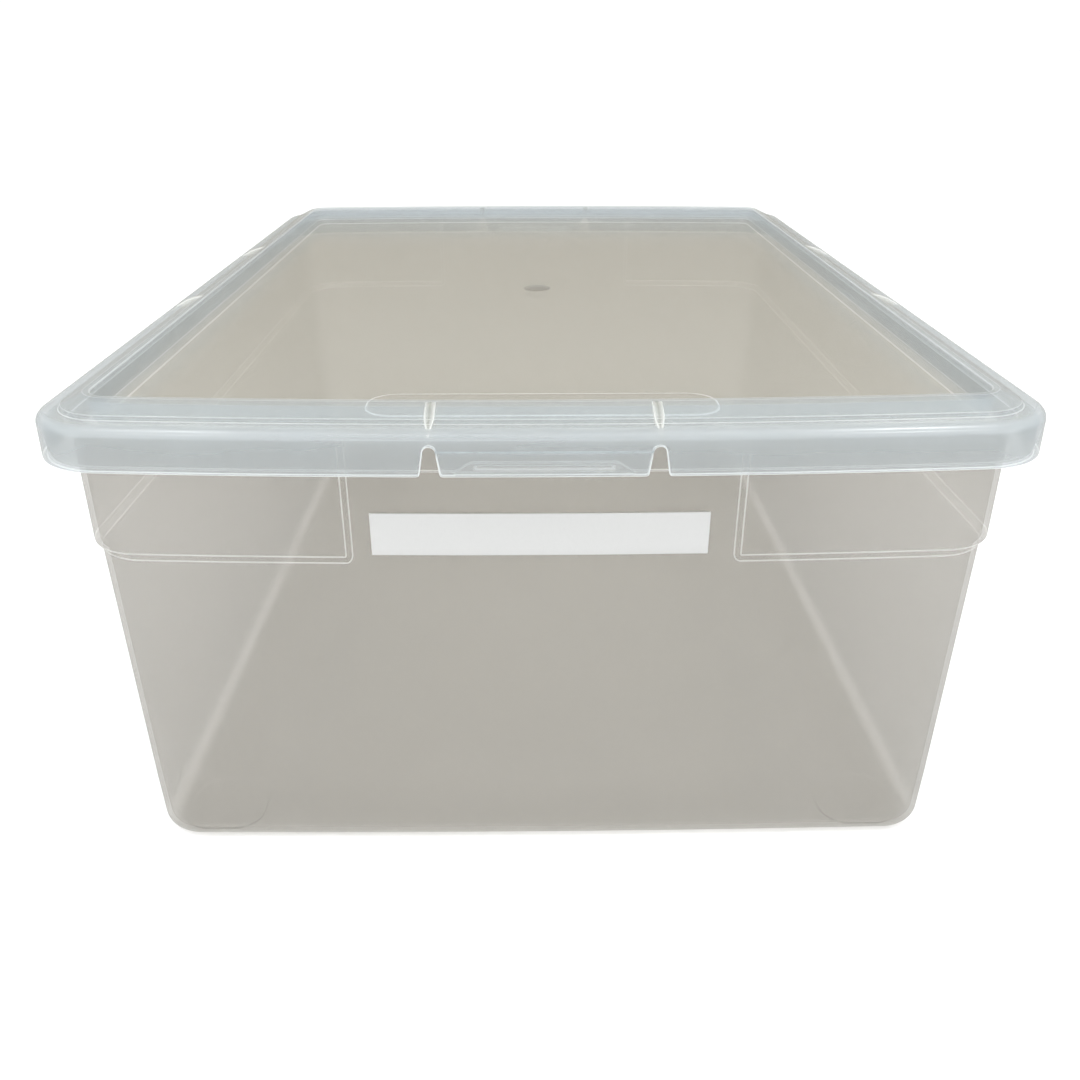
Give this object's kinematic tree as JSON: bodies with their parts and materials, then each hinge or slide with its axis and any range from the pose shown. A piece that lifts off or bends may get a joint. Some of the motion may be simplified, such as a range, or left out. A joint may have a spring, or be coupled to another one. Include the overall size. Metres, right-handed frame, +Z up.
{
  "type": "shoe box",
  "caption": "Translucent moulded shoe box: drafted tub with a stepped upper band, press-on recessed lid with flexing latch tabs, and a blank end label.",
  "frame": {"origin": "centre of the footprint, level with the undersides of the feet", "axes": "+Z up; +X across the width, to the right when facing the labelled end; +Y along the length, away from the labelled end"},
  "size_m": [0.268, 0.3718, 0.1445],
  "materials": {
    "tub_plastic": "milky clear polypropylene, smooth, bright edges",
    "lid_plastic": "milky clear polypropylene, smooth, faintly blue in the rim",
    "label_paper": "off-white self-adhesive paper strip, blank"
  },
  "bodies": {
    "tub": {"box_body": "tub_plastic", "label_strip": "label_paper"},
    "lid": {"lid": "lid_plastic"},
    "front_tab": {"front_latch_tab": "lid_plastic"},
    "rear_tab": {"rear_latch_tab": "lid_plastic"},
    "left_tab": {"left_latch_tab": "lid_plastic"},
    "right_tab": {"right_latch_tab": "lid_plastic"}
  },
  "joints": [
    {"name": "lid_lift", "type": "slide", "parent": "tub", "child": "lid", "axis": [0, 0, 1], "range_m": [0, 0.12]},
    {"name": "front_tab_flex", "type": "hinge", "parent": "lid", "child": "front_tab", "pos_m": [0, -0.18525, 0.1351], "axis": [-1, 0, 0], "range_deg": [0, 12], "stiffness_Nm_per_rad": 0.5},
    {"name": "rear_tab_flex", "type": "hinge", "parent": "lid", "child": "rear_tab", "pos_m": [0, 0.18525, 0.1351], "axis": [1, 0, 0], "range_deg": [0, 12], "stiffness_Nm_per_rad": 0.5},
    {"name": "left_tab_flex", "type": "hinge", "parent": "lid", "child": "left_tab", "pos_m": [-0.13325, 0, 0.1351], "axis": [0, 1, 0], "range_deg": [0, 12], "stiffness_Nm_per_rad": 0.5},
    {"name": "right_tab_flex", "type": "hinge", "parent": "lid", "child": "right_tab", "pos_m": [0.13325, 0, 0.1351], "axis": [0, -1, 0], "range_deg": [0, 12], "stiffness_Nm_per_rad": 0.5}
  ]
}
